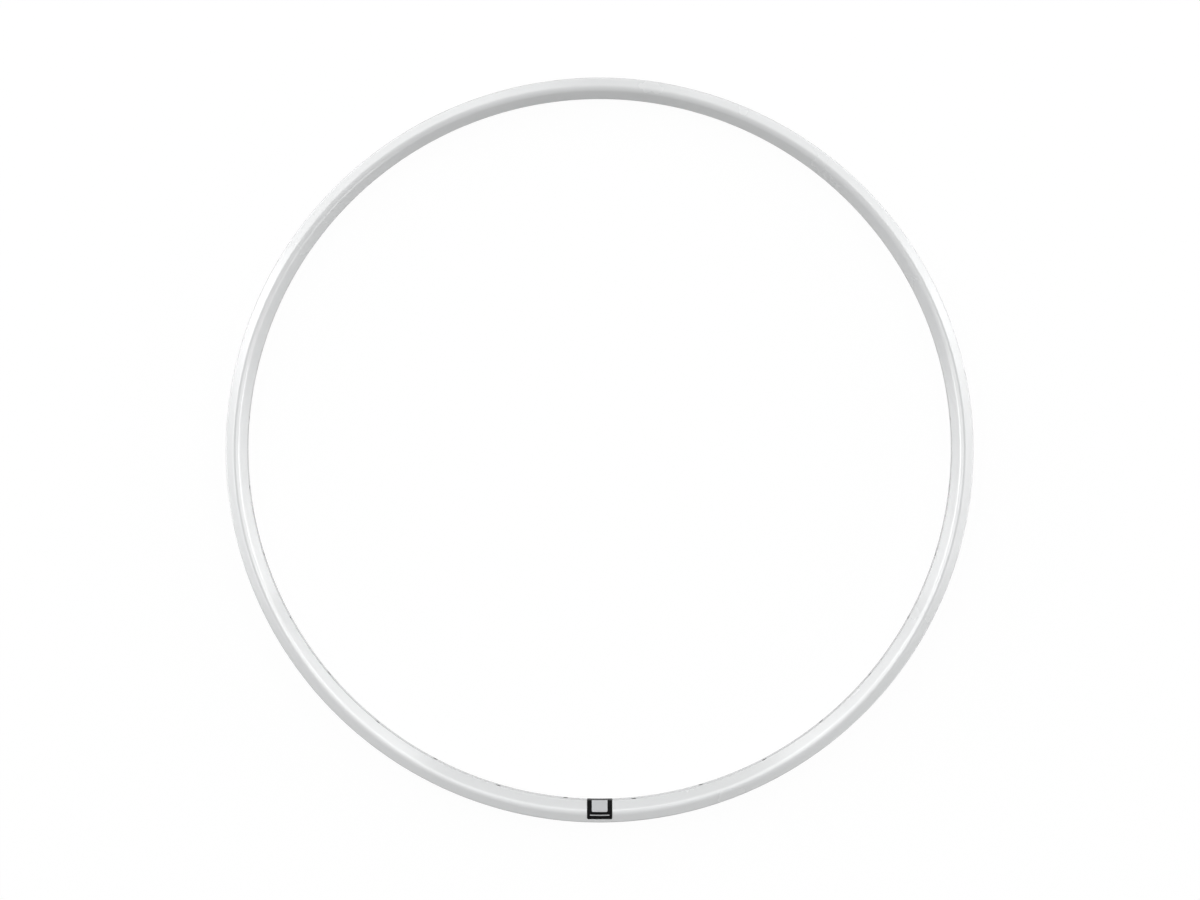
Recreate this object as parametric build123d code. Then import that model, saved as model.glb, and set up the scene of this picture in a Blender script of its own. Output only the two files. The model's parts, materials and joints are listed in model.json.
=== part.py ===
"""Double-wall bicycle rim for a 622 mm tyre, with the small label stuck on its side.

The wheel's axle line is Z and the origin is the middle of the rim. The labelled side faces +Z,
with the label at -Y and the valve hole opposite it at +Y.
"""

from build123d import *
import os
from math import asin, atan, atan2, degrees, hypot, pi, tan

# Tyre side, in millimetres
BEAD_SEAT_DIAMETER = 622.0
FLANGE_HEIGHT = 6.0
TYRE_WIDTH = 21.0
HOOK_HEIGHT = 2.2
HOOK_OVERHANG = 1.0
HOOK_RAMP = 1.0
BEAD_SEAT_WIDTH = 2.6
WELL_DEPTH = 4.0
WELL_WIDTH = 13.0

# Hub side
RIM_DEPTH = 17.7
OUTER_WIDTH = 26.9
BED_WIDTH = 8.8
CROWN_INSET = 7.4
CROWN_ROUNDING = 5.5
BED_EDGE_ROUNDING = 0.8
FLANGE_ROUNDING = 1.6

# Walls, and the share of the flange wall that its rounding may take
FLANGE_WALL = 1.5
SIDE_WALL = 1.3
SPOKE_BED_WALL = 2.0
TYRE_BED_WALL = 1.2
ROUNDED_SHARE = 0.95

# Drilling, counted round the hoop from the valve hole
VALVE_ANGLE = 90.0
VALVE_HOLE_DIAMETER = 6.5
SPOKE_COUNT = 32
SPOKE_HOLE_DIAMETER = 4.2
SPOKE_STAGGER = 1.8
ACCESS_HOLE_DIAMETER = 7.0
DRILL_OVERRUN = 1.0

# Label
LABEL_WIDTH = 21.6
LABEL_THICKNESS = 0.2
LABEL_FLANGE_MARGIN = 3.2
LABEL_BED_REACH = 3.8
LABEL_CORNER = 1.3

# Radii and heights above the mid-plane that follow from the sizes above
SEAT_RADIUS = BEAD_SEAT_DIAMETER / 2
FLANGE_RADIUS = SEAT_RADIUS + FLANGE_HEIGHT
BED_RADIUS = FLANGE_RADIUS - RIM_DEPTH
WELL_RADIUS = SEAT_RADIUS - WELL_DEPTH
CROWN_RADIUS = FLANGE_RADIUS - CROWN_INSET
CROWN_CENTRE_HEIGHT = OUTER_WIDTH / 2 - CROWN_ROUNDING
TIP_HEIGHT = TYRE_WIDTH / 2 + FLANGE_WALL
BED_EDGE_HEIGHT = BED_WIDTH / 2


def rise_to_crown(radius: float, height: float) -> float:
    """Steepness of the straight wall that runs from a corner of the section onto the round crown."""
    across = abs(CROWN_RADIUS - radius)
    up = CROWN_CENTRE_HEIGHT - height
    return tan(atan2(up, across) + asin(CROWN_ROUNDING / hypot(across, up)))


def slope_rise() -> float:
    """Steepness of the slope between the spoke bed and the crown."""
    return rise_to_crown(BED_RADIUS, BED_EDGE_HEIGHT)


def sidewall_rise() -> float:
    """Steepness of the sidewall between the flange tip and the crown."""
    return rise_to_crown(FLANGE_RADIUS, TIP_HEIGHT)


def crown_corner() -> tuple[float, float]:
    """Radius and height where the slope and the sidewall would meet without the crown's rounding."""
    sidewall_over_bed = TIP_HEIGHT + RIM_DEPTH * sidewall_rise()
    inset = (sidewall_over_bed - BED_EDGE_HEIGHT) / (slope_rise() + sidewall_rise())
    return BED_RADIUS + inset, BED_EDGE_HEIGHT + inset * slope_rise()


def mirrored(half: list[tuple[float, float]]) -> list[tuple[float, float]]:
    """A closed outline from its upper half, with the lower half in return order."""
    return half + [(radius, -height) for radius, height in reversed(half)]


def hub_side_corners() -> list[tuple[float, float]]:
    """Upper corners of the hub side: bed edge, crown and flange tip."""
    return [(BED_RADIUS, BED_EDGE_HEIGHT), crown_corner(), (FLANGE_RADIUS, TIP_HEIGHT)]


def tyre_side_corners() -> list[tuple[float, float]]:
    """Upper corners of the tyre side, from the hook at the flange tip down to the well."""
    nose_height = TYRE_WIDTH / 2
    flange_height = nose_height + HOOK_OVERHANG
    nose_radius = FLANGE_RADIUS - HOOK_HEIGHT
    return [
        (FLANGE_RADIUS, nose_height),
        (nose_radius, nose_height),
        (nose_radius - HOOK_RAMP, flange_height),
        (SEAT_RADIUS, flange_height),
        (SEAT_RADIUS, flange_height - BEAD_SEAT_WIDTH),
        (WELL_RADIUS, WELL_WIDTH / 2),
    ]


def chamber_bounds() -> list[tuple[float, float]]:
    """Upper corners of the room between the spoke bed and the tyre bed, open past the sidewalls."""
    floor = BED_RADIUS + SPOKE_BED_WALL
    well_roof = WELL_RADIUS - TYRE_BED_WALL
    seat_roof = SEAT_RADIUS - TYRE_BED_WALL
    seat_edge = TYRE_WIDTH / 2 + HOOK_OVERHANG - BEAD_SEAT_WIDTH
    return [
        (floor, OUTER_WIDTH),
        (seat_roof, OUTER_WIDTH),
        (seat_roof, seat_edge + TYRE_BED_WALL / 2),
        (well_roof, WELL_WIDTH / 2 + TYRE_BED_WALL / 2),
    ]


def section_face(half: list[tuple[float, float]], half_radii: list[float]) -> Sketch:
    """A face in the section plane from the upper half of its outline, with each corner's radius."""
    radii = half_radii + half_radii[::-1]
    return Plane.XZ * make_face(FilletPolyline(*mirrored(half), radius=radii, close=True))


def chamber_section() -> Sketch:
    """The hollow chamber: one side wall inside the hub side, between the spoke bed and the tyre bed."""
    inside = offset(section_face(hub_side_corners(), [0.0, CROWN_ROUNDING, 0.0]), amount=-SIDE_WALL)
    bounds = chamber_bounds()
    return inside & section_face(bounds, [0.0] * len(bounds))


def rim_section() -> Sketch:
    """The extrusion's section: hub side, hooked flanges, bead seats, well and hollow chamber."""
    tyre_side = tyre_side_corners()
    rounding_reach = tan((pi / 2 - atan(sidewall_rise())) / 2)
    flange_rounding = min(FLANGE_ROUNDING, ROUNDED_SHARE * FLANGE_WALL / rounding_reach)
    hub_radii = [BED_EDGE_ROUNDING, CROWN_ROUNDING, flange_rounding]
    outside = section_face(hub_side_corners() + tyre_side, hub_radii + [0.0] * len(tyre_side))
    return outside - chamber_section()


def radial_cylinder(angle: float, height: float, diameter: float, start: float, end: float) -> Part:
    """A drill along a radius of the rim, between two radii, at a height above its mid-plane."""
    along = Plane.YZ.offset(start) * extrude(Circle(diameter / 2), end - start)
    return Pos(0, 0, height) * Rot(0, 0, angle) * along


def spoke_drills() -> list[Part]:
    """Spoke holes in the bed and their access holes in the tyre bed, stepped to each side in turn."""
    inner = BED_RADIUS - DRILL_OVERRUN
    chamber_middle = (BED_RADIUS + SPOKE_BED_WALL + WELL_RADIUS - TYRE_BED_WALL) / 2
    outer = FLANGE_RADIUS + DRILL_OVERRUN
    pitch = 360 / SPOKE_COUNT
    drills = []
    for index in range(SPOKE_COUNT):
        angle = VALVE_ANGLE + (index + 0.5) * pitch
        height = SPOKE_STAGGER if index % 2 == 0 else -SPOKE_STAGGER
        drills.append(radial_cylinder(angle, height, SPOKE_HOLE_DIAMETER, inner, chamber_middle))
        drills.append(radial_cylinder(angle, height, ACCESS_HOLE_DIAMETER, chamber_middle, outer))
    return drills


def valve_drill() -> Part:
    """The valve hole through both walls, in the rim's mid-plane."""
    inner = BED_RADIUS - DRILL_OVERRUN
    outer = FLANGE_RADIUS + DRILL_OVERRUN
    return radial_cylinder(VALVE_ANGLE, 0, VALVE_HOLE_DIAMETER, inner, outer)


def make_rim() -> Part:
    """The hoop with its drilled holes."""
    hoop = revolve(rim_section(), axis=Axis.Z)
    return hoop - [*spoke_drills(), valve_drill()]


def label_skin() -> Sketch:
    """The label's thickness in section, on the sidewall, crown, slope and spoke bed."""
    backing = section_face(hub_side_corners(), [BED_EDGE_ROUNDING, CROWN_ROUNDING, 0.0])
    skin = offset(backing, amount=LABEL_THICKNESS) - backing
    inner = BED_RADIUS - 2 * LABEL_THICKNESS
    outer = FLANGE_RADIUS - LABEL_FLANGE_MARGIN / 2
    window = Polyline(
        (inner, -LABEL_BED_REACH),
        (outer, -LABEL_BED_REACH),
        (outer, OUTER_WIDTH),
        (inner, OUTER_WIDTH),
        close=True,
    )
    return skin & (Plane.XZ * make_face(window))


def label_outline(end: float) -> Sketch:
    """The label laid flat, with its rounded end at a height on the sheet and the rest past the rim."""
    length = 2 * (RIM_DEPTH + OUTER_WIDTH)
    return Pos(0, end + length / 2) * RectangleRounded(LABEL_WIDTH, length, LABEL_CORNER)


def make_label() -> Part:
    """The label: a rounded rectangle wrapped from the sidewall over the slope and across the bed."""
    sweep = degrees(2 * LABEL_WIDTH / BED_RADIUS)
    band = Rot(0, 0, -90 - sweep / 2) * revolve(label_skin(), axis=Axis.Z, revolution_arc=sweep)
    side_outline = label_outline(LABEL_FLANGE_MARGIN - FLANGE_RADIUS)
    seen_from_side = extrude(side_outline, OUTER_WIDTH, both=True)
    bed_outline = Plane.XZ * label_outline(-LABEL_BED_REACH)
    seen_from_hub = extrude(bed_outline, FLANGE_RADIUS, dir=(0, -1, 0))
    return band & seen_from_side & seen_from_hub


def main() -> None:
    """Writes each piece to its own file."""
    os.makedirs("parts", exist_ok=True)
    export_step(make_rim(), "parts/rim.step")
    export_step(make_label(), "parts/side_label.step")


main()
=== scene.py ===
"""White bicycle rim with a small black label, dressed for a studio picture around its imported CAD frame."""

import json
import logging
import math
from dataclasses import dataclass, field
from enum import Enum

import bpy
from mathutils import Matrix, Vector


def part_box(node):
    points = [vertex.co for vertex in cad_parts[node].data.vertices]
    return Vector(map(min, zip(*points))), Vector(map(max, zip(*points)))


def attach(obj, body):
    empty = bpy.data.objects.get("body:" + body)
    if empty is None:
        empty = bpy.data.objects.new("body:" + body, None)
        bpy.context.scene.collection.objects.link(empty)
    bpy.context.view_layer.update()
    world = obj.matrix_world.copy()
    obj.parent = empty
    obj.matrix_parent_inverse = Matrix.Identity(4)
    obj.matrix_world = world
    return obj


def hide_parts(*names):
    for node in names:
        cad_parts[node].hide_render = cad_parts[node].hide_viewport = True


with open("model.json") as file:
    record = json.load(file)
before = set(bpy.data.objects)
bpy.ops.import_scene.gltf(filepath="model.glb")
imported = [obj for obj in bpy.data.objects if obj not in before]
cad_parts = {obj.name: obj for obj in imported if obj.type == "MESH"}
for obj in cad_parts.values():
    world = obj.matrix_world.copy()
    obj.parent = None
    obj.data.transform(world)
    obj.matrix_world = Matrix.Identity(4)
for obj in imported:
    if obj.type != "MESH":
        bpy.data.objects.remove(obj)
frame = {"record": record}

MM = 0.001
ROOT_BODY = "root"
SHEET_MIDDLE = 0.5
log = logging.getLogger("bicycle_rim")

Point = tuple[float, float]
Colour = tuple[float, float, float, float]
Corners = list[Vector | tuple[float, float, float]]
Faces = list[tuple[int, ...]]
Feed = float | Colour | bpy.types.NodeSocket


class Slot(Enum):
    """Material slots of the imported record."""

    PAINT = "white_paint"
    FILM = "label_film"


class Node(Enum):
    """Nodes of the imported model."""

    RIM = "rim"
    LABEL = "side_label"


def mount(name: str) -> dict:
    """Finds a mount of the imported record.

    Args:
        name: The mount's name.

    Returns:
        The mount's entry.
    """
    return next(entry for entry in frame["record"]["mounts"] if entry["name"] == name)


def arc(centre: Point, radius: float, start: float, end: float, steps: int) -> list[Point]:
    """Points round a rounded corner of the section, by the lean of its normal.

    Args:
        centre: Radius and height of the rounding's centre.
        radius: Size of the rounding.
        start: Lean of the first normal from the axle line, outward positive, in radians.
        end: Lean of the last normal.
        steps: Number of straight steps.

    Returns:
        The points, as radius and height.
    """
    leans = [start + (end - start) * step / steps for step in range(steps + 1)]
    return [(centre[0] + radius * math.sin(lean), centre[1] + radius * math.cos(lean)) for lean in leans]


def between(first: Point, last: Point, steps: int) -> list[Point]:
    """Points inside a straight stretch, without its ends.

    Args:
        first: Start of the stretch.
        last: End of the stretch.
        steps: Number of equal steps along it.

    Returns:
        The points between the ends.
    """
    shares = [step / steps for step in range(1, steps)]
    return [(first[0] + (last[0] - first[0]) * s, first[1] + (last[1] - first[1]) * s) for s in shares]


def eased(before: Point, corner: Point, after: Point, reach: float, steps: int) -> list[Point]:
    """A corner of the section with its sharp edge taken off.

    Args:
        before: Point before the corner.
        corner: The sharp corner.
        after: Point after the corner.
        reach: Distance from the corner at which the easing starts.
        steps: Number of straight steps.

    Returns:
        Points of the eased corner.
    """
    middle = Vector(corner)
    start = middle + (Vector(before) - middle).normalized() * reach
    end = middle + (Vector(after) - middle).normalized() * reach
    shares = [step / steps for step in range(steps + 1)]
    return [tuple(start * (1 - s) ** 2 + middle * 2 * s * (1 - s) + end * s**2) for s in shares]


def mirrored(half: list[Point]) -> list[Point]:
    """A closed outline from its upper half, with the lower half in return order."""
    return half + [(radius, -height) for radius, height in reversed(half)]


def new_piece(name: str, vertices: Corners, faces: Faces) -> bpy.types.Object:
    """Makes a mesh object and puts it in the scene.

    Args:
        name: Name of the object and of its mesh.
        vertices: Corner points, in metres.
        faces: Corner numbers of each face.

    Returns:
        The new object.
    """
    mesh = bpy.data.meshes.new(name)
    mesh.from_pydata(vertices, [], faces)
    mesh.update()
    piece = bpy.data.objects.new(name, mesh)
    bpy.context.scene.collection.objects.link(piece)
    return piece


def dress_piece(piece: bpy.types.Object, material: bpy.types.Material, node: Node) -> None:
    """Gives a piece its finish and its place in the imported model.

    Args:
        piece: The piece.
        material: Its finish.
        node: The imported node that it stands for.
    """
    piece.data.materials.clear()
    piece.data.materials.append(material)
    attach(piece, ROOT_BODY)
    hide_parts(node.value)
    log.info("%s: %d faces for %s", piece.name, len(piece.data.polygons), node.value)


@dataclass(frozen=True)
class RimSection:
    """The hoop's extruded section: radii from the axle line and heights from the mid-plane, in metres."""

    flange_radius: float
    bed_radius: float
    seat_radius: float
    outer_width: float = 26.9 * MM
    tyre_width: float = 21.0 * MM
    flange_wall: float = 1.5 * MM
    hook_height: float = 2.2 * MM
    hook_overhang: float = 1.0 * MM
    hook_ramp: float = 1.0 * MM
    bead_seat_width: float = 2.6 * MM
    well_depth: float = 4.0 * MM
    well_width: float = 13.0 * MM
    bed_width: float = 8.8 * MM
    crown_inset: float = 7.4 * MM
    crown_rounding: float = 5.5 * MM
    bed_edge_rounding: float = 0.8 * MM
    flange_rounding: float = 1.6 * MM
    side_wall: float = 1.3 * MM
    spoke_bed_wall: float = 2.0 * MM
    tyre_bed_wall: float = 1.2 * MM
    corner_ease: float = 0.15 * MM
    shoulder: float = 0.2 * MM
    bed_edge_steps: int = 6
    crown_steps: int = 16
    tip_steps: int = 8
    ease_steps: int = 2
    chamber_steps: int = 10

    @classmethod
    def from_frame(cls) -> "RimSection":
        """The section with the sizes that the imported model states."""
        return cls(
            flange_radius=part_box(Node.RIM.value)[1].x,
            bed_radius=mount("inner_circle")["dims"]["r_mm"] * MM,
            seat_radius=mount("tyre_bead_seats")["dims"]["r_mm"] * MM,
        )

    @property
    def well_radius(self) -> float:
        """Radius of the well's floor."""
        return self.seat_radius - self.well_depth

    @property
    def tip_height(self) -> float:
        """Height of the flange tip's outer corner."""
        return self.tyre_width / 2 + self.flange_wall

    @property
    def crown_centre(self) -> Point:
        """Centre of the crown's rounding."""
        return self.flange_radius - self.crown_inset, self.outer_width / 2 - self.crown_rounding

    def lean_to_crown(self, radius: float, height: float) -> float:
        """Lean of the straight wall that runs from a corner onto the crown's rounding.

        Args:
            radius: Radius of the corner.
            height: Height of the corner.

        Returns:
            The wall's angle to the mid-plane, in radians.
        """
        across = abs(self.crown_centre[0] - radius)
        up = self.crown_centre[1] - height
        return math.atan2(up, across) + math.asin(self.crown_rounding / math.hypot(across, up))

    @property
    def slope_lean(self) -> float:
        """Lean of the slope's normal towards the hub."""
        return self.lean_to_crown(self.bed_radius, self.bed_width / 2)

    @property
    def sidewall_lean(self) -> float:
        """Lean of the sidewall's normal outwards."""
        return self.lean_to_crown(self.flange_radius, self.tip_height)

    def bed_edge(self, steps: int, proud: float = 0.0) -> list[Point]:
        """The rounding between the spoke bed and the slope.

        Args:
            steps: Number of straight steps.
            proud: Distance outside the rim's own surface.

        Returns:
            Points from the bed to the slope.
        """
        rounding = self.bed_edge_rounding
        height = self.bed_width / 2 - rounding * math.tan((math.pi / 2 - self.slope_lean) / 2)
        centre = (self.bed_radius + rounding, height)
        return arc(centre, rounding + proud, -math.pi / 2, -self.slope_lean, steps)

    def crown(self, steps: int, proud: float = 0.0) -> list[Point]:
        """The crown's rounding between the slope and the sidewall.

        Args:
            steps: Number of straight steps.
            proud: Distance outside the rim's own surface.

        Returns:
            Points from the slope to the sidewall.
        """
        rounding = self.crown_rounding + proud
        return arc(self.crown_centre, rounding, -self.slope_lean, self.sidewall_lean, steps)

    def flange_tip(self) -> list[Point]:
        """The rounding of the flange tip.

        Returns:
            Points from the sidewall to the tip.
        """
        reach = math.tan((math.pi / 2 - self.sidewall_lean) / 2)
        rounding = self.flange_rounding
        centre = (self.flange_radius - rounding, self.tip_height - rounding * reach)
        return arc(centre, rounding, self.sidewall_lean, math.pi / 2, self.tip_steps)

    def shouldered(self, before: Point, stretch: list[Point], after: Point) -> list[Point]:
        """A rounding with one more point on the flat before and after it, so that the flats shade flat.

        Args:
            before: A point on the flat before the rounding.
            stretch: The rounding's points.
            after: A point on the flat after it.

        Returns:
            The rounding's points with its shoulders.
        """
        first, last = Vector(stretch[0]), Vector(stretch[-1])
        lead = first + (Vector(before) - first).normalized() * self.shoulder
        trail = last + (Vector(after) - last).normalized() * self.shoulder
        return [tuple(lead), *stretch, tuple(trail)]

    def hub_side(self) -> list[Point]:
        """Upper half of the hub side.

        Returns:
            Points from the spoke bed to the flange tip.
        """
        edge = self.bed_edge(self.bed_edge_steps)
        crown = self.crown(self.crown_steps)
        tip = self.flange_tip()
        return [
            *self.shouldered((self.bed_radius, 0.0), edge, crown[0]),
            *self.shouldered(edge[-1], crown, tip[0]),
            *self.shouldered(crown[-1], tip, (self.flange_radius, 0.0))[:-1],
        ]

    def tyre_side(self) -> list[Point]:
        """Upper half of the tyre side.

        Returns:
            Points from the flange tip over the hook and the bead seat to the well.
        """
        nose = self.tyre_width / 2
        flange = nose + self.hook_overhang
        nose_radius = self.flange_radius - self.hook_height
        corners = [
            (self.flange_radius, self.tip_height),
            (self.flange_radius, nose),
            (nose_radius, nose),
            (nose_radius - self.hook_ramp, flange),
            (self.seat_radius, flange),
            (self.seat_radius, flange - self.bead_seat_width),
            (self.well_radius, self.well_width / 2),
            (self.well_radius, 0.0),
        ]
        points = []
        for before, corner, after in zip(corners, corners[1:], corners[2:]):
            points += eased(before, corner, after, self.corner_ease, self.ease_steps)
        return points

    def chamber(self) -> list[Point]:
        """Upper half of the hollow chamber.

        Returns:
            Points from its floor to its roof.
        """
        inside = self.crown_rounding - self.side_wall
        seat_roof = self.seat_radius - self.tyre_bed_wall
        roof_lean = math.asin((seat_roof - self.crown_centre[0]) / inside)
        rounding = arc(self.crown_centre, inside, -self.slope_lean, roof_lean, self.chamber_steps)
        floor = self.bed_radius + self.spoke_bed_wall
        floor_height = rounding[0][1] - (rounding[0][0] - floor) * math.tan(self.slope_lean)
        seat_edge = self.tyre_width / 2 + self.hook_overhang - self.bead_seat_width
        return [
            (floor, floor_height),
            *rounding,
            (seat_roof, seat_edge + self.tyre_bed_wall / 2),
            (self.well_radius - self.tyre_bed_wall, (self.well_width + self.tyre_bed_wall) / 2),
        ]


@dataclass(frozen=True)
class Drill:
    """One drilled hole along a radius of the hoop, in metres and radians."""

    angle: float
    height: float
    bed_hole_radius: float
    tyre_hole_radius: float
    overrun: float = 1.0 * MM
    deburr: float = 0.12 * MM
    sides: int = 48

    def profile(self, section: RimSection) -> list[Point]:
        """The drill's radius at each distance from the axle line.

        Args:
            section: The section that is drilled.

        Returns:
            Pairs of distance and radius.
        """
        bed, hole = section.bed_radius, self.bed_hole_radius
        chamber_middle = (bed + section.spoke_bed_wall + section.well_radius - section.tyre_bed_wall) / 2
        return [
            (bed - self.overrun, hole + self.overrun + self.deburr),
            (bed + self.deburr, hole),
            (chamber_middle, hole),
            (chamber_middle + self.overrun, self.tyre_hole_radius),
            (section.flange_radius + self.overrun, self.tyre_hole_radius),
        ]

    def solid(self, section: RimSection, first: int) -> tuple[Corners, Faces]:
        """The drill's closed mesh.

        Args:
            section: The section that is drilled.
            first: Number of its first corner point.

        Returns:
            Corner points and faces.
        """
        along = Vector((math.cos(self.angle), math.sin(self.angle), 0.0))
        aside = Vector((-math.sin(self.angle), math.cos(self.angle), 0.0))
        up = Vector((0.0, 0.0, 1.0))
        turns = [2 * math.pi * side / self.sides for side in range(self.sides)]
        vertices = []
        for distance, radius in self.profile(section):
            middle = along * distance + up * self.height
            vertices += [middle + (aside * math.cos(t) + up * math.sin(t)) * radius for t in turns]
        starts = range(first, first + len(vertices), self.sides)
        rings = [range(start, start + self.sides) for start in starts]
        faces = [tuple(reversed(rings[0])), tuple(rings[-1])]
        for near, far in zip(rings, rings[1:]):
            for side in range(self.sides):
                after = (side + 1) % self.sides
                faces.append((near[side], near[after], far[after], far[side]))
        return vertices, faces


@dataclass
class Rim:
    """The painted hoop: the section turned round the axle line, with its drilled holes."""

    section: RimSection
    access_hole_radius: float = 3.5 * MM
    columns: int = 480
    sharp_angle: float = math.radians(30.0)
    radial_limit: float = 0.5
    drills: list[Drill] = field(default_factory=list)

    def read_drilling(self) -> None:
        """Takes the place and size of every bore but those along the axle line from the record."""
        for entry in frame["record"]["mounts"]:
            across, along, up = entry["axis"]
            if entry["kind"] != "bore" or abs(up) > self.radial_limit:
                continue
            hole = entry["dims"]["r_mm"] * MM
            tyre_hole = hole if entry["name"] == "valve_hole" else self.access_hole_radius
            self.drills.append(Drill(math.atan2(along, across), entry["pos_m"][2], hole, tyre_hole))

    def turned(self, outline: list[Point], first: int) -> tuple[Corners, Faces]:
        """Turns a closed outline round the axle line.

        Args:
            outline: Points of the section, clockwise for an outer surface.
            first: Number of the first corner point.

        Returns:
            Corner points and faces.
        """
        count = len(outline)
        vertices, faces = [], []
        for column in range(self.columns):
            turn = 2 * math.pi * column / self.columns
            across, along = math.cos(turn), math.sin(turn)
            vertices += [(radius * across, radius * along, height) for radius, height in outline]
            here = first + column * count
            there = first + (column + 1) % self.columns * count
            for point in range(count):
                after = (point + 1) % count
                faces.append((here + point, here + after, there + after, there + point))
        return vertices, faces

    def hoop(self) -> bpy.types.Object:
        """Makes the undrilled hoop.

        Returns:
            The hoop, with its hollow chamber.
        """
        outside = mirrored(self.section.hub_side() + self.section.tyre_side())
        chamber = mirrored(self.section.chamber())[::-1]
        vertices, faces = self.turned(outside, 0)
        more_vertices, more_faces = self.turned(chamber, len(vertices))
        return new_piece("rim_hoop", vertices + more_vertices, faces + more_faces)

    def drill_set(self) -> bpy.types.Object:
        """Makes all drills.

        Returns:
            The drills as one cutting mesh.
        """
        vertices, faces = [], []
        for drill in self.drills:
            more_vertices, more_faces = drill.solid(self.section, len(vertices))
            vertices += more_vertices
            faces += more_faces
        return new_piece("drill_set", vertices, faces)

    def build(self) -> bpy.types.Object:
        """Makes the drilled hoop.

        Returns:
            The finished piece, with smooth surfaces and sharp edges.
        """
        self.read_drilling()
        hoop, drills = self.hoop(), self.drill_set()
        cut = hoop.modifiers.new("drilling", "BOOLEAN")
        cut.operation = "DIFFERENCE"
        cut.solver = "EXACT"
        cut.object = drills
        evaluated = hoop.evaluated_get(bpy.context.evaluated_depsgraph_get())
        drilled = bpy.data.meshes.new_from_object(evaluated)
        hoop.modifiers.clear()
        hoop.data = drilled
        bpy.data.objects.remove(drills)
        drilled.shade_smooth()
        drilled.set_sharp_from_angle(angle=self.sharp_angle)
        return hoop

    def dress(self, piece: bpy.types.Object, paint: "WhitePaint") -> None:
        """Paints the hoop."""
        dress_piece(piece, paint.material(self.section), Node.RIM)


@dataclass
class SideLabel:
    """The film label, wrapped from the sidewall over the crown and the slope and across the spoke bed."""

    section: RimSection
    width: float = 21.6 * MM
    thickness: float = 0.2 * MM
    flange_margin: float = 3.2 * MM
    bed_reach: float = 3.8 * MM
    corner: float = 1.3 * MM
    corner_columns: int = 8
    middle_columns: int = 24
    bed_steps: int = 6
    bed_edge_steps: int = 8
    slope_steps: int = 8
    crown_steps: int = 20
    sidewall_steps: int = 4
    sharp_angle: float = math.radians(40.0)
    sheet_map: str = "label_sheet"

    def columns(self) -> list[float]:
        """Spaces the label's columns.

        Returns:
            Places across the label, closer together at its rounded corners.
        """
        turns = [math.pi / 2 * step / self.corner_columns for step in range(self.corner_columns)]
        straight = self.width / 2 - self.corner
        edge = [-straight - self.corner * math.cos(turn) for turn in turns]
        steps = range(self.middle_columns + 1)
        middle = [straight * (2 * step / self.middle_columns - 1) for step in steps]
        return edge + middle + [-x for x in reversed(edge)]

    def corner_inset(self, x: float) -> float:
        """How far the rounded corner holds the label's end back at a place across it."""
        past = max(0.0, abs(x) - (self.width / 2 - self.corner))
        return self.corner - math.sqrt(max(0.0, self.corner**2 - past**2))

    def path(self, x: float, proud: float) -> list[Point]:
        """The label's line along the section, from its end on the bed to its end on the sidewall.

        Args:
            x: Place across the label.
            proud: Distance outside the rim's surface.

        Returns:
            Points of the line, as many at each place.
        """
        section = self.section
        edge = section.bed_edge(self.bed_edge_steps, proud)
        crown = section.crown(self.crown_steps, proud)
        start = (section.bed_radius - proud, self.corner_inset(x) - self.bed_reach)
        end_radius = math.hypot(section.flange_radius - self.flange_margin - self.corner_inset(x), x)
        fall = math.tan(section.sidewall_lean)
        end = (end_radius, crown[-1][1] - (end_radius - crown[-1][0]) * fall)
        return [
            start,
            *between(start, edge[0], self.bed_steps),
            *edge,
            *between(edge[-1], crown[0], self.slope_steps),
            *crown,
            *between(crown[-1], end, self.sidewall_steps),
            end,
        ]

    def surface(self, proud: float) -> list[list[Vector]]:
        """Points of the label's face or back.

        Args:
            proud: Distance outside the rim's surface.

        Returns:
            The points, by column and place along it.
        """
        columns = []
        for x in self.columns():
            points = self.path(x, proud)
            columns.append([Vector((x, -math.sqrt(r**2 - x**2), height)) for r, height in points])
        return columns

    def border(self, columns: int, rows: int) -> list[int]:
        """Walks round the label's face.

        Args:
            columns: Number of places across the label.
            rows: Number of places along it.

        Returns:
            Numbers of the corner points on its border, in order.
        """
        border = [column * rows for column in range(columns)]
        border += [(columns - 1) * rows + row for row in range(1, rows)]
        border += [column * rows + rows - 1 for column in reversed(range(columns - 1))]
        return border + list(reversed(range(1, rows - 1)))

    def build(self) -> bpy.types.Object:
        """Makes the label as a closed film.

        Returns:
            The finished piece, with a map of its sheet for the print.
        """
        face, back = self.surface(self.thickness), self.surface(0.0)
        columns, rows = len(face), len(face[0])
        vertices = [point for column in face + back for point in column]
        reverse = columns * rows
        faces = []
        for column in range(columns - 1):
            for row in range(rows - 1):
                near = column * rows + row
                quad = (near, near + 1, near + rows + 1, near + rows)
                faces.append(quad)
                faces.append(tuple(reverse + corner for corner in reversed(quad)))
        border = self.border(columns, rows)
        for here, there in zip(border, border[1:] + border[:1]):
            faces.append((here, there, reverse + there, reverse + here))
        label = new_piece("label_film", vertices, faces)
        self.map_sheet(label, rows)
        label.data.shade_smooth()
        label.data.set_sharp_from_angle(angle=self.sharp_angle)
        return label

    def lengths(self) -> list[float]:
        """Measures along the middle of the label.

        Returns:
            The length from its end on the bed to each row.
        """
        points = [Vector(point) for point in self.path(0.0, self.thickness)]
        lengths = [0.0]
        for before, after in zip(points, points[1:]):
            lengths.append(lengths[-1] + (after - before).length)
        return lengths

    def map_sheet(self, label: bpy.types.Object, rows: int) -> None:
        """Lays the label's flat sheet over its faces, from 0 to 1 across and along it.

        Args:
            label: The label's object.
            rows: Number of places along the label.
        """
        places, lengths = self.columns(), self.lengths()
        sheet = label.data.uv_layers.new(name=self.sheet_map)
        for loop in label.data.loops:
            column, row = divmod(loop.vertex_index % (len(places) * rows), rows)
            across = places[column] / self.width + SHEET_MIDDLE
            sheet.data[loop.index].uv = (across, lengths[row] / lengths[-1])

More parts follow.
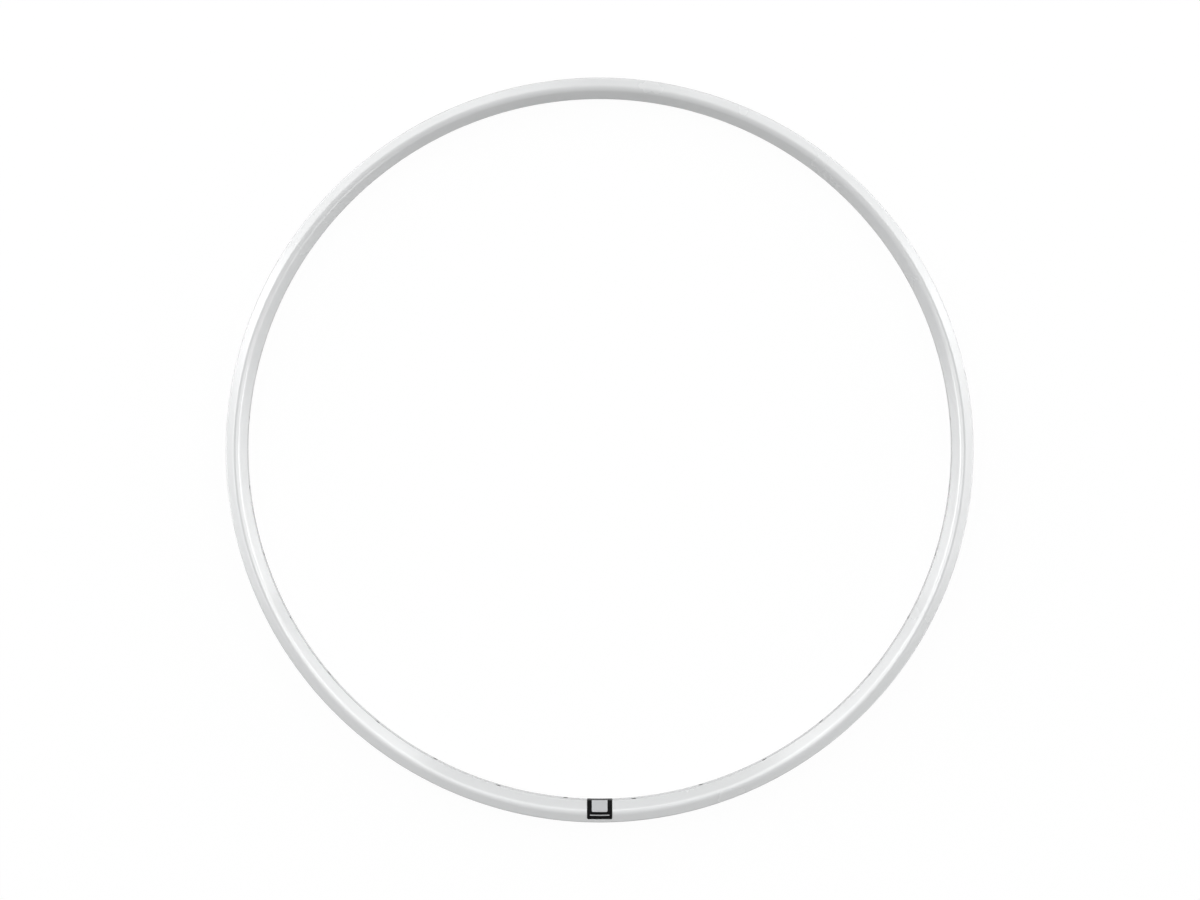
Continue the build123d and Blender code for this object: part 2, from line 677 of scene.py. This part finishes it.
    def dress(self, piece: bpy.types.Object, film: "LabelFilm") -> None:
        """Gives the label its printed film."""
        size = (self.width, self.lengths()[-1])
        dress_piece(piece, film.material(self.sheet_map, size), Node.LABEL)


class Shader:
    """A node tree that is filled node by node."""

    COLOUR_A = 6
    COLOUR_B = 7
    COLOUR_RESULT = 2

    def __init__(self, tree: bpy.types.NodeTree) -> None:
        """Takes the tree to fill."""
        self.tree = tree

    def add(self, kind: str, **settings: object) -> bpy.types.Node:
        """Adds a node.

        Args:
            kind: Blender's name for the node type.
            **settings: Properties to set on it.

        Returns:
            The node.
        """
        node = self.tree.nodes.new(kind)
        for name, value in settings.items():
            setattr(node, name, value)
        return node

    def feed(self, socket: bpy.types.NodeSocket, value: Feed) -> None:
        """Links an output to a socket, or sets the socket's own value.

        Args:
            socket: The socket to feed.
            value: An output, or a plain value.
        """
        if isinstance(value, bpy.types.NodeSocket):
            self.tree.links.new(value, socket)
        else:
            socket.default_value = value

    def math(self, operation: str, first: Feed, second: Feed = 0.0) -> bpy.types.NodeSocket:
        """Adds a sum.

        Args:
            operation: Blender's name for the operation.
            first: A value or an output.
            second: A value or an output.

        Returns:
            The result's output.
        """
        node = self.add("ShaderNodeMath", operation=operation)
        self.feed(node.inputs[0], first)
        self.feed(node.inputs[1], second)
        return node.outputs[0]

    def hypotenuse(self, first: Feed, second: Feed) -> bpy.types.NodeSocket:
        """Adds the length of the line across two sides at a right angle."""
        squares = [self.math("POWER", side, 2.0) for side in (first, second)]
        return self.math("SQRT", self.math("ADD", *squares))

    def ranged(self, value: Feed, bounds: Point, first: Feed, last: Feed) -> bpy.types.NodeSocket:
        """Adds a smooth change of range.

        Args:
            value: The value to change.
            bounds: Start and end of its range.
            first: Result at the start.
            last: Result at the end.

        Returns:
            The result's output.
        """
        node = self.add("ShaderNodeMapRange", interpolation_type="SMOOTHSTEP")
        for socket, given in zip(node.inputs, (value, *bounds, first, last)):
            self.feed(socket, given)
        return node.outputs[0]

    def mixed(self, share: Feed, first: Feed, second: Feed) -> bpy.types.NodeSocket:
        """Adds a mix of two colours.

        Args:
            share: Share of the second colour.
            first: A colour or an output.
            second: A colour or an output.

        Returns:
            The mixed colour's output.
        """
        node = self.add("ShaderNodeMix", data_type="RGBA")
        self.feed(node.inputs["Factor"], share)
        self.feed(node.inputs[self.COLOUR_A], first)
        self.feed(node.inputs[self.COLOUR_B], second)
        return node.outputs[self.COLOUR_RESULT]


class SharedEffect:
    """Node groups that more than one finish uses, each built once."""

    RIPPLE_DETAIL = 2.0
    HAZE_DETAIL = 5.0
    HAZE_RANGE = (0.35, 0.75)

    @staticmethod
    def group(
        name: str, inputs: dict[str, str], outputs: dict[str, str]
    ) -> tuple[bpy.types.NodeTree, Shader]:
        """Starts a node group.

        Args:
            name: The group's name.
            inputs: Socket type of each named input.
            outputs: Socket type of each named output.

        Returns:
            The group and a filler for its nodes.
        """
        tree = bpy.data.node_groups.new(name, "ShaderNodeTree")
        for socket, kind in inputs.items():
            tree.interface.new_socket(socket, in_out="INPUT", socket_type=kind)
        for socket, kind in outputs.items():
            tree.interface.new_socket(socket, in_out="OUTPUT", socket_type=kind)
        return tree, Shader(tree)

    @staticmethod
    def noise(shader: Shader, scale: Feed, detail: float) -> bpy.types.NodeSocket:
        """Adds a noise over the object's own coordinates.

        Args:
            shader: The group's filler.
            scale: Number of patches per metre.
            detail: Number of finer layers.

        Returns:
            The noise's output.
        """
        place = shader.add("ShaderNodeTexCoord")
        noise = shader.add("ShaderNodeTexNoise")
        shader.feed(noise.inputs["Vector"], place.outputs["Object"])
        shader.feed(noise.inputs["Scale"], scale)
        shader.feed(noise.inputs["Detail"], detail)
        return noise.outputs["Fac"]

    @classmethod
    def fine_ripple(cls) -> bpy.types.NodeTree:
        """The faint waves that a sprayed or pressed surface sets with.

        Returns:
            The group, which gives the waves' height.
        """
        if "fine_ripple" in bpy.data.node_groups:
            return bpy.data.node_groups["fine_ripple"]
        value = "NodeSocketFloat"
        tree, shader = cls.group("fine_ripple", {"Waves per metre": value}, {"Height": value})
        given, result = shader.add("NodeGroupInput"), shader.add("NodeGroupOutput")
        waves = cls.noise(shader, given.outputs["Waves per metre"], cls.RIPPLE_DETAIL)
        shader.feed(result.inputs["Height"], waves)
        return tree

    @classmethod
    def handled_haze(cls) -> bpy.types.NodeTree:
        """The soft, uneven haze of a surface that has been handled.

        Returns:
            The group, which gives a colour and a roughness.
        """
        if "handled_haze" in bpy.data.node_groups:
            return bpy.data.node_groups["handled_haze"]
        value, colour = "NodeSocketFloat", "NodeSocketColor"
        inputs = {"Clean": colour, "Hazy": colour}
        inputs |= {"Patches per metre": value, "Smooth": value, "Rough": value}
        tree, shader = cls.group("handled_haze", inputs, {"Color": colour, "Roughness": value})
        given, result = shader.add("NodeGroupInput"), shader.add("NodeGroupOutput")
        noise = cls.noise(shader, given.outputs["Patches per metre"], cls.HAZE_DETAIL)
        patch = shader.ranged(noise, cls.HAZE_RANGE, 0.0, 1.0)
        tone = shader.mixed(patch, given.outputs["Clean"], given.outputs["Hazy"])
        rough = shader.ranged(patch, (0.0, 1.0), given.outputs["Smooth"], given.outputs["Rough"])
        shader.feed(result.inputs["Color"], tone)
        shader.feed(result.inputs["Roughness"], rough)
        return tree


@dataclass(frozen=True)
class SurfaceWear:
    """The haze and the fine waves of a finish, with lengths in metres."""

    clean: Colour
    hazy: Colour
    smooth: float
    rough: float
    patches_per_metre: float
    waves_per_metre: float
    wave_height: float

    def spread(self, shader: Shader, surface: bpy.types.Node) -> bpy.types.NodeSocket:
        """Gives a surface its roughness and its waves.

        Args:
            shader: The material's filler.
            surface: The material's surface node.

        Returns:
            The hazy colour's output.
        """
        haze = shader.add("ShaderNodeGroup", node_tree=SharedEffect.handled_haze())
        haze.inputs["Clean"].default_value = self.clean
        haze.inputs["Hazy"].default_value = self.hazy
        haze.inputs["Patches per metre"].default_value = self.patches_per_metre
        haze.inputs["Smooth"].default_value = self.smooth
        haze.inputs["Rough"].default_value = self.rough
        ripple = shader.add("ShaderNodeGroup", node_tree=SharedEffect.fine_ripple())
        ripple.inputs["Waves per metre"].default_value = self.waves_per_metre
        bump = shader.add("ShaderNodeBump")
        bump.inputs["Distance"].default_value = self.wave_height
        shader.feed(bump.inputs["Height"], ripple.outputs["Height"])
        shader.feed(surface.inputs["Roughness"], haze.outputs["Roughness"])
        shader.feed(surface.inputs["Normal"], bump.outputs["Normal"])
        return haze.outputs["Color"]


@dataclass(frozen=True)
class WhitePaint:
    """Glossy white paint on the hoop, with a near-black colour painted inside the drilled holes and the
    chamber as painted shade.
    """

    wear: SurfaceWear = SurfaceWear(
        clean=(0.748, 0.758, 0.763, 1.0),
        hazy=(0.727, 0.737, 0.740, 1.0),
        smooth=0.22,
        rough=0.28,
        patches_per_metre=18.0,
        waves_per_metre=420.0,
        wave_height=0.004 * MM,
    )
    index: float = 2.05
    coat: float = 1.0
    coat_roughness: float = 0.18
    # Painted shade: a near-black colour without coat inside the drilled holes and the chamber, starting a
    # little past the bed and fading in over a short depth.
    hole_shade: Colour = (0.045, 0.045, 0.042, 1.0)
    shade_start: float = 0.15 * MM
    shade_fade: float = 0.1 * MM
    inside_lean: float = 0.9

    def hole_shade_mask(self, shader: Shader, section: RimSection) -> bpy.types.NodeSocket:
        """Builds a mask of the surfaces inside the drilled holes and the chamber, which get the painted
        shade.

        Args:
            shader: The paint's filler.
            section: The hoop's section.

        Returns:
            1 inside the drilled holes and the chamber, where the shade is painted, and 0 on the white
            outside.
        """
        place = shader.add("ShaderNodeSeparateXYZ")
        shader.feed(place.inputs["Vector"], shader.add("ShaderNodeTexCoord").outputs["Object"])
        radius = shader.hypotenuse(place.outputs["X"], place.outputs["Y"])
        depth = shader.math("SUBTRACT", radius, section.bed_radius)
        lean = shader.math("MULTIPLY", depth, self.inside_lean)
        aside = shader.math("SUBTRACT", shader.math("ABSOLUTE", place.outputs["Z"]), lean)
        start, fade = self.shade_start, self.shade_fade
        bed_side = section.bed_width / 2 - start
        well_depth = section.well_radius - section.bed_radius - start
        past_bed = shader.ranged(depth, (start, start + fade), 0.0, 1.0)
        below_well = shader.ranged(depth, (well_depth - fade, well_depth), 1.0, 0.0)
        between_sides = shader.ranged(aside, (bed_side - fade, bed_side), 1.0, 0.0)
        return shader.math("MULTIPLY", shader.math("MULTIPLY", past_bed, below_well), between_sides)

    def material(self, section: RimSection) -> bpy.types.Material:
        """Builds the paint.

        Args:
            section: The hoop's section.

        Returns:
            The material.
        """
        material = bpy.data.materials.new(Slot.PAINT.value)
        material.use_nodes = True
        shader = Shader(material.node_tree)
        paint = material.node_tree.nodes["Principled BSDF"]
        white = self.wear.spread(shader, paint)
        inside = self.hole_shade_mask(shader, section)
        # Painted shade: the near-black colour and no coat inside the drilled holes and the chamber.
        shader.feed(paint.inputs["Base Color"], shader.mixed(inside, white, self.hole_shade))
        shader.feed(paint.inputs["Coat Weight"], shader.ranged(inside, (0.0, 1.0), self.coat, 0.0))
        paint.inputs["IOR"].default_value = self.index
        paint.inputs["Coat Roughness"].default_value = self.coat_roughness
        return material


@dataclass(frozen=True)
class PrintedField:
    """Ink on the label's flat sheet, square at its bed end and rounded at the other, in metres."""

    half_width: float
    start: float
    end: float
    corner: float
    soft_edge: float = 0.12 * MM

    def mask(self, shader: Shader, across: Feed, along: Feed) -> bpy.types.NodeSocket:
        """Builds the field's mask.

        Args:
            shader: The material's filler.
            across: Distance across from the label's middle.
            along: Distance along from the label's bed end.

        Returns:
            1 on the field and 0 off it.
        """
        edge = self.soft_edge / 2
        aside = shader.math("SUBTRACT", shader.math("ABSOLUTE", across), self.half_width - self.corner)
        beyond = shader.math("SUBTRACT", along, self.end - self.corner)
        past_corner = [shader.math("MAXIMUM", side, 0.0) for side in (aside, beyond)]
        distance = shader.hypotenuse(*past_corner)
        inside = shader.ranged(distance, (self.corner - edge, self.corner + edge), 1.0, 0.0)
        begun = shader.ranged(along, (self.start - edge, self.start + edge), 0.0, 1.0)
        return shader.math("MULTIPLY", inside, begun)


@dataclass(frozen=True)
class LabelFilm:
    """Black film, printed with a plain silver field and a silver rule."""

    wear: SurfaceWear = SurfaceWear(
        clean=(0.004, 0.004, 0.0045, 1.0),
        hazy=(0.008, 0.008, 0.0085, 1.0),
        smooth=0.22,
        rough=0.34,
        patches_per_metre=160.0,
        waves_per_metre=900.0,
        wave_height=0.003 * MM,
    )
    silver: Colour = (0.58, 0.59, 0.60, 1.0)
    index: float = 1.15
    silver_field: PrintedField = PrintedField(
        half_width=6.7 * MM, start=7.2 * MM, end=20.4 * MM, corner=1.1 * MM
    )
    silver_rule: PrintedField = PrintedField(
        half_width=8.3 * MM, start=22.8 * MM, end=23.7 * MM, corner=0.1 * MM
    )

    def material(self, sheet_map: str, size: Point) -> bpy.types.Material:
        """Builds the film.

        Args:
            sheet_map: Name of the label's sheet map.
            size: Width and length of the flat sheet.

        Returns:
            The material.
        """
        material = bpy.data.materials.new(Slot.FILM.value)
        material.use_nodes = True
        shader = Shader(material.node_tree)
        film = material.node_tree.nodes["Principled BSDF"]
        sheet = shader.add("ShaderNodeUVMap", uv_map=sheet_map)
        place = shader.add("ShaderNodeSeparateXYZ")
        shader.feed(place.inputs["Vector"], sheet.outputs["UV"])
        width, length = size
        from_middle = shader.math("SUBTRACT", place.outputs["X"], SHEET_MIDDLE)
        across = shader.math("MULTIPLY", from_middle, width)
        along = shader.math("MULTIPLY", place.outputs["Y"], length)
        prints = [ink.mask(shader, across, along) for ink in (self.silver_field, self.silver_rule)]
        printed = shader.math("MAXIMUM", *prints)
        black = self.wear.spread(shader, film)
        shader.feed(film.inputs["Base Color"], shader.mixed(printed, black, self.silver))
        film.inputs["IOR"].default_value = self.index
        return material


@dataclass(frozen=True)
class Softbox:
    """A studio lamp that faces the rim from far off, with its distance in metres.

    Its angle from the axle line, its angle round it and the angles that it spans are in degrees.
    """

    name: str
    polar: float
    azimuth: float
    span: Point
    radiance: float
    distance: float = 5.0

    def build(self) -> None:
        """Puts the lamp in the scene."""
        width, height = (2 * self.distance * math.tan(math.radians(angle) / 2) for angle in self.span)
        lamp = bpy.data.lights.new(self.name, "AREA")
        lamp.shape = "RECTANGLE"
        lamp.size, lamp.size_y = width, height
        lamp.energy = self.radiance * math.pi * width * height
        polar, azimuth = math.radians(self.polar), math.radians(self.azimuth)
        ground = math.sin(polar)
        place = Vector((ground * math.cos(azimuth), ground * math.sin(azimuth), math.cos(polar)))
        stand = bpy.data.objects.new(self.name, lamp)
        stand.location = place * self.distance
        stand.rotation_euler = place.to_track_quat("Z", "Y").to_euler()
        stand.visible_camera = False
        bpy.context.scene.collection.objects.link(stand)


@dataclass(frozen=True)
class Studio:
    """The pale floor, the lamps and the white surroundings, with lengths in metres."""

    floor_height: float
    floor_side: float = 12.0
    floor_colour: Colour = (0.80, 0.80, 0.80, 1.0)
    white: Colour = (1.0, 1.0, 1.0, 1.0)
    floor_glow: float = 1.03
    floor_white_share: float = 0.93
    reflected_white_share: float = 0.1
    fill: float = 0.01
    lamps: tuple[Softbox, ...] = (
        Softbox("front_right", polar=27.0, azimuth=-4.0, span=(28.0, 12.0), radiance=2.1),
        Softbox("front_left", polar=26.0, azimuth=185.0, span=(28.0, 12.0), radiance=2.6),
        Softbox("side_right", polar=45.0, azimuth=0.0, span=(38.0, 18.0), radiance=1.3),
        Softbox("side_left", polar=54.0, azimuth=180.0, span=(38.0, 36.0), radiance=1.0),
        Softbox("upper_right", polar=46.0, azimuth=42.0, span=(40.0, 52.0), radiance=1.0),
        Softbox("upper_left", polar=46.0, azimuth=138.0, span=(40.0, 52.0), radiance=1.2),
        Softbox("upper_back", polar=62.0, azimuth=90.0, span=(40.0, 18.0), radiance=1.4),
        Softbox("low_right", polar=80.0, azimuth=0.0, span=(38.0, 18.0), radiance=4.1),
        Softbox("low_left", polar=80.0, azimuth=180.0, span=(38.0, 18.0), radiance=3.5),
        Softbox("low_upper_right", polar=78.0, azimuth=40.0, span=(34.0, 20.0), radiance=2.2),
        Softbox("low_upper_left", polar=78.0, azimuth=140.0, span=(34.0, 20.0), radiance=2.2),
        Softbox("low_lower_right", polar=78.0, azimuth=-40.0, span=(34.0, 20.0), radiance=1.3),
    )

    def background_share(self, shader: Shader, seen: float, reflected: float) -> bpy.types.NodeSocket:
        """A mask of the rays that see the white background.

        Args:
            shader: The filler of the floor's or the world's nodes.
            seen: Share of white for rays from the camera.
            reflected: Share of white for rays from a reflection or through glass.

        Returns:
            The share of white for each ray.
        """
        rays = shader.add("ShaderNodeLightPath").outputs
        bounced = shader.math("MAXIMUM", rays["Is Glossy Ray"], rays["Is Transmission Ray"])
        direct = shader.math("MULTIPLY", rays["Is Camera Ray"], seen)
        return shader.math("MAXIMUM", direct, shader.math("MULTIPLY", bounced, reflected))

    def floor_material(self) -> bpy.types.Material:
        """Builds a pale floor that looks white and keeps a faint shadow.

        Returns:
            The material.
        """
        material = bpy.data.materials.new("pale_floor")
        material.use_nodes = True
        shader = Shader(material.node_tree)
        nodes = material.node_tree.nodes
        nodes.remove(nodes["Principled BSDF"])
        lit = shader.add("ShaderNodeBsdfDiffuse")
        lit.inputs["Color"].default_value = self.floor_colour
        glow = shader.add("ShaderNodeEmission")
        glow.inputs["Color"].default_value = self.white
        glow.inputs["Strength"].default_value = self.floor_glow
        blend = shader.add("ShaderNodeMixShader")
        share = self.background_share(shader, self.floor_white_share, self.reflected_white_share)
        shader.feed(blend.inputs[0], share)
        shader.feed(blend.inputs[1], lit.outputs[0])
        shader.feed(blend.inputs[2], glow.outputs[0])
        shader.feed(nodes["Material Output"].inputs["Surface"], blend.outputs[0])
        return material

    def build_floor(self) -> None:
        """Lays the floor under the rim."""
        half = self.floor_side / 2
        corners = [(-half, -half), (half, -half), (half, half), (-half, half)]
        floor = new_piece("floor", [(x, y, self.floor_height) for x, y in corners], [(0, 1, 2, 3)])
        floor.data.materials.append(self.floor_material())

    def build_world(self) -> None:
        """Sets white surroundings that give only a weak fill."""
        world = bpy.data.worlds.new("studio")
        world.use_nodes = True
        bpy.context.scene.world = world
        shader = Shader(world.node_tree)
        sky = world.node_tree.nodes["Background"]
        sky.inputs["Color"].default_value = self.white
        share = self.background_share(shader, seen=1.0, reflected=1.0)
        strength = shader.ranged(share, (0.0, 1.0), self.fill, 1.0)
        shader.feed(sky.inputs["Strength"], strength)

    def build(self) -> None:
        """Puts up the floor, the surroundings and the lamps."""
        self.build_floor()
        self.build_world()
        for lamp in self.lamps:
            lamp.build()
            log.info("lamp %s", lamp.name)
        bpy.context.scene.view_settings.view_transform = "Standard"


@dataclass(frozen=True)
class PhotoCamera:
    """The photograph's camera, above the rim and a little towards its upper edge.

    Lengths are in metres, the tilt is in degrees and the sensor's width in millimetres.
    """

    distance: float = 2.8
    tilt: float = 5.15
    focal_px: float = 3290.0
    image_width_px: float = 1200.0
    sensor_width: float = 36.0
    aim: tuple[float, float, float] = (0.3 * MM, 2.26 * MM, 0.0)

    def build(self) -> None:
        """Puts the camera in the scene."""
        tilt = math.radians(self.tilt)
        camera = bpy.data.cameras.new("photo_camera")
        camera.sensor_width = self.sensor_width
        camera.lens = self.focal_px * self.sensor_width / self.image_width_px
        stand = bpy.data.objects.new("photo_camera", camera)
        stand.location = Vector((0.0, math.sin(tilt), math.cos(tilt))) * self.distance
        back = (stand.location - Vector(self.aim)).normalized()
        up = back.cross(Vector((1.0, 0.0, 0.0))).normalized()
        stand.rotation_euler = Matrix((up.cross(back), up, back)).transposed().to_euler()
        bpy.context.scene.collection.objects.link(stand)
        bpy.context.scene.camera = stand


def main() -> None:
    """Builds the rim, its label, the studio and the camera."""
    logging.basicConfig(level=logging.INFO, format="%(name)s: %(message)s")
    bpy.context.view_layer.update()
    section = RimSection.from_frame()
    rim = Rim(section)
    rim.dress(rim.build(), WhitePaint())
    label = SideLabel(section)
    label.dress(label.build(), LabelFilm())
    Studio(floor_height=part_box(Node.RIM.value)[0].z).build()
    PhotoCamera().build()


if __name__ == "__main__":
    main()
